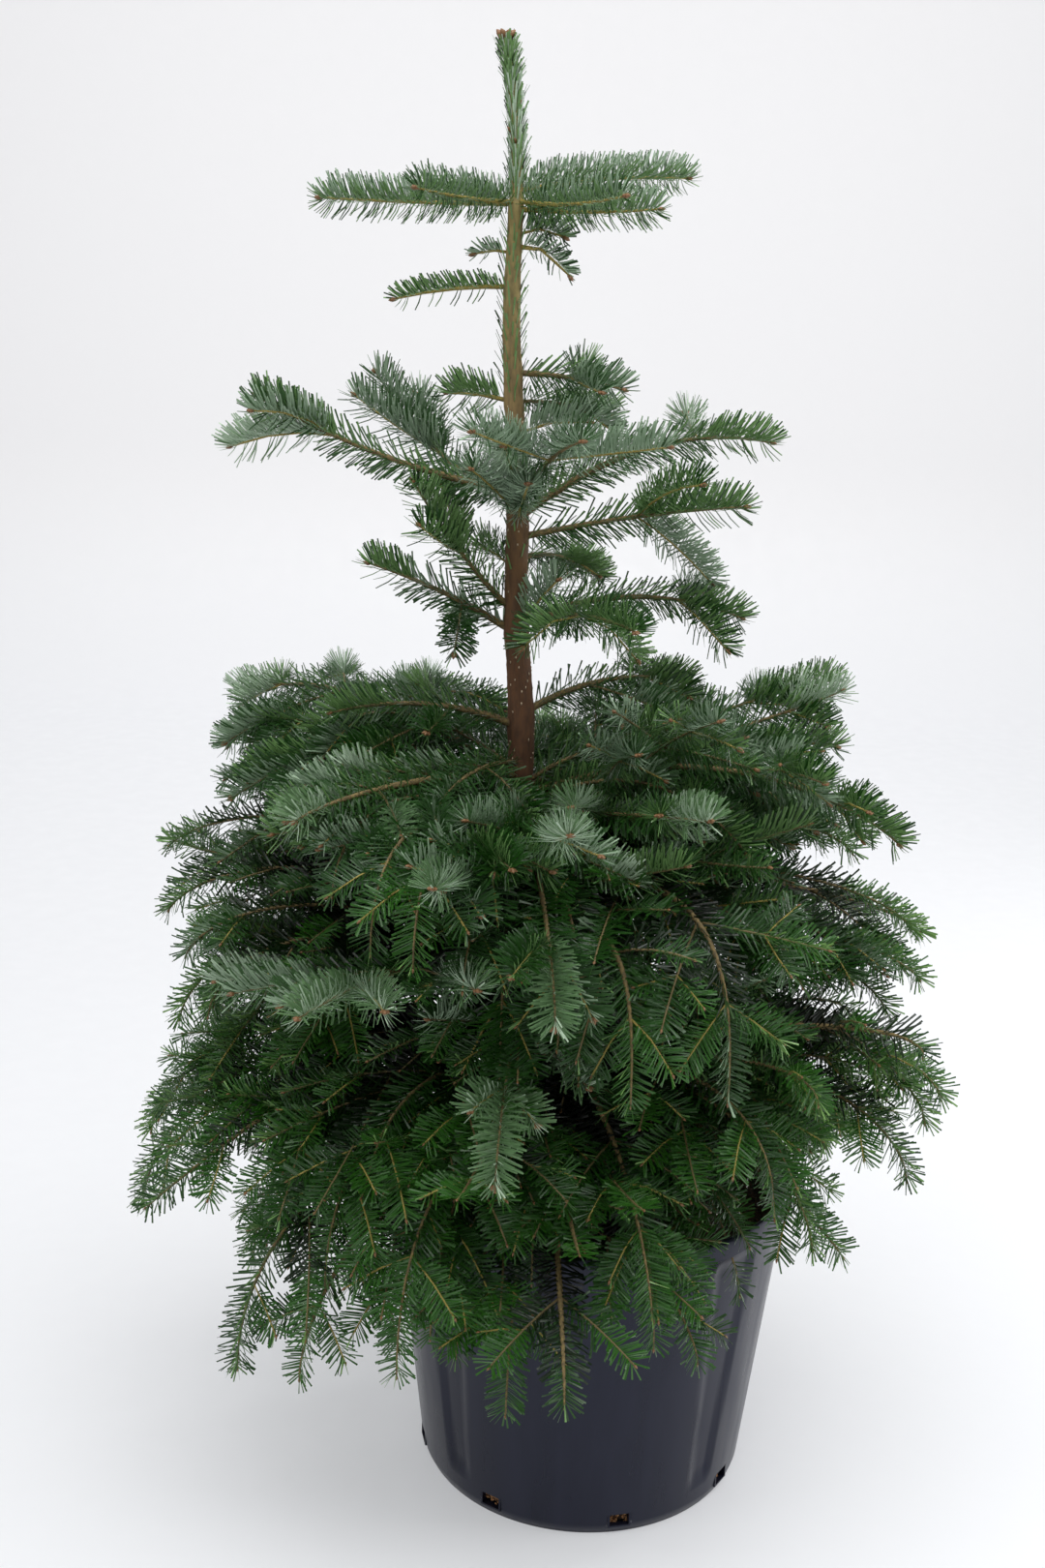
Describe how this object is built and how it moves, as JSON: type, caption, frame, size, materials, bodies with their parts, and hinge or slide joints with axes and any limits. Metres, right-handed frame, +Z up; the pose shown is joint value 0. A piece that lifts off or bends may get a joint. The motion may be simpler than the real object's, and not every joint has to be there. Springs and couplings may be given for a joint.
{
  "type": "potted nordmann fir",
  "caption": "Young fir in a round nursery pot: a leaning stem, open upper whorls of short boughs and a dense skirt of drooping boughs that hangs over the rim.",
  "frame": {"origin": "middle of the pot's flat underside", "axes": "+Z up along the tree, -Y towards the viewer of the picture, +X to the viewer's right"},
  "size_m": [0.6784, 0.6138, 1.1991],
  "materials": {
    "pot_plastic": "semi-gloss moulded plastic",
    "compost": "matt, crumbly",
    "trunk_bark": "rough bark",
    "twig_bark": "smooth young bark",
    "needles_dark": "waxy dark green needles",
    "needles_blue": "waxy blue-green needles"
  },
  "bodies": {
    "root": {"pot": "pot_plastic", "soil": "compost", "trunk": "trunk_bark", "needles_leader": "needles_blue", "needles_top_left": "needles_blue", "needles_top_front_left": "needles_blue", "needles_top_front_right": "needles_blue", "needles_top_right": "needles_blue", "needles_top_back_right": "needles_blue", "needles_twig_right": "needles_blue", "needles_twig_left": "needles_blue", "needles_upper_right": "needles_dark", "needles_upper_left": "needles_dark", "bough_second_left": "twig_bark", "needles_second_left": "needles_blue", "bough_second_left_back": "twig_bark", "needles_second_left_back": "needles_blue", "bough_second_front": "twig_bark", "needles_second_front": "needles_blue", "bough_second_right": "twig_bark", "needles_second_right": "needles_blue", "needles_mid_right": "needles_dark", "needles_mid_left_high": "needles_dark", "needles_mid_left_low": "needles_dark", "needles_mid_front_right": "needles_dark", "needles_mid_right_low": "needles_dark", "needles_mid_back_right": "needles_dark", "needles_third_left": "needles_dark", "needles_third_right": "needles_dark", "bough_lower_left_back": "twig_bark", "needles_lower_left_back": "needles_dark", "bough_lower_front_left": "twig_bark", "needles_lower_front_left": "needles_dark", "bough_lower_front": "twig_bark", "needles_lower_front": "needles_dark", "needles_lower_front_right": "needles_dark", "bough_lower_right": "twig_bark", "needles_lower_right": "needles_dark", "needles_lower_right_back": "needles_dark", "needles_lower_back": "needles_dark", "needles_wide_left": "needles_dark", "needles_wide_front_left": "needles_dark", "needles_wide_front": "needles_dark", "needles_wide_front_right": "needles_dark", "needles_wide_right": "needles_dark", "needles_wide_back_right": "needles_dark", "needles_wide_back_left": "needles_dark", "needles_deep_left": "needles_dark", "needles_deep_front_left": "needles_dark", "needles_deep_front_right": "needles_dark", "needles_deep_right": "needles_dark", "needles_deep_back": "needles_dark", "needles_deep_back_left": "needles_dark", "needles_foot_front_left": "needles_dark", "needles_foot_front": "needles_dark", "needles_foot_low_front": "needles_dark", "needles_foot_front_right": "needles_dark", "needles_foot_right": "needles_dark", "needles_foot_back_right": "needles_dark", "needles_foot_back": "needles_dark"}
  },
  "joints": []
}
